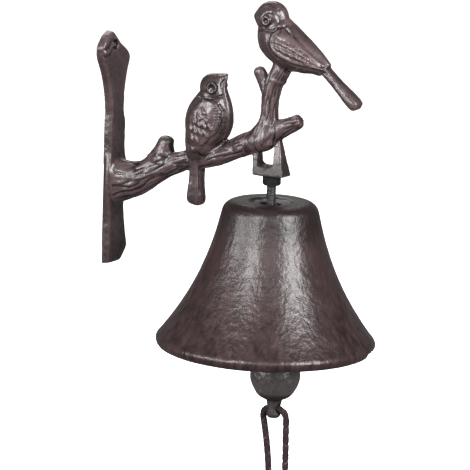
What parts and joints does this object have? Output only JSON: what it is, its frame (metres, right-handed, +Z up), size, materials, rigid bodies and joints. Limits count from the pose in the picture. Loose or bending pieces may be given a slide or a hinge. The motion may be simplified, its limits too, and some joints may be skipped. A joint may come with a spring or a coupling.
{
  "type": "wall bell",
  "caption": "Cast-iron wall bell: a branch bracket with perched birds carries a flared bell on a threaded hook, rung by a clapper with a pull cord.",
  "frame": {"origin": "On the back face of the wall plate, in the plane of the arm, at the height of the screw hole.", "axes": "+X points out of the wall along the arm, +Z is up, and Y is across the wall; the arm, the bell's axis and the clapper lie in y = 0."},
  "size_m": [0.1486, 0.1114, 0.3405],
  "materials": {
    "casting": "dark red-brown lacquer over sand-cast grain, half glossy",
    "zinc_steel": "dull zinc",
    "dark_steel": "blackened",
    "cord": "braided cord, matt"
  },
  "bodies": {
    "bracket": {"bracket": "casting", "hanger_hook": "zinc_steel", "lock_nut": "dark_steel", "bell_washer": "zinc_steel", "retaining_nut": "dark_steel"},
    "bell": {"bell": "casting"},
    "clapper": {"clapper": "casting", "pull_cord": "cord", "cord_knot": "cord"}
  },
  "joints": [
    {"name": "bell_turn", "type": "hinge", "parent": "bracket", "child": "bell", "pos_m": [0.0929, 0, -0.071], "axis": [0, 0, 1], "continuous": true},
    {"name": "clapper_swing", "type": "hinge", "parent": "bracket", "child": "clapper", "pos_m": [0.0991, 0, -0.0992], "axis": [0, 1, 0], "range_deg": [-31, 40.7]}
  ]
}
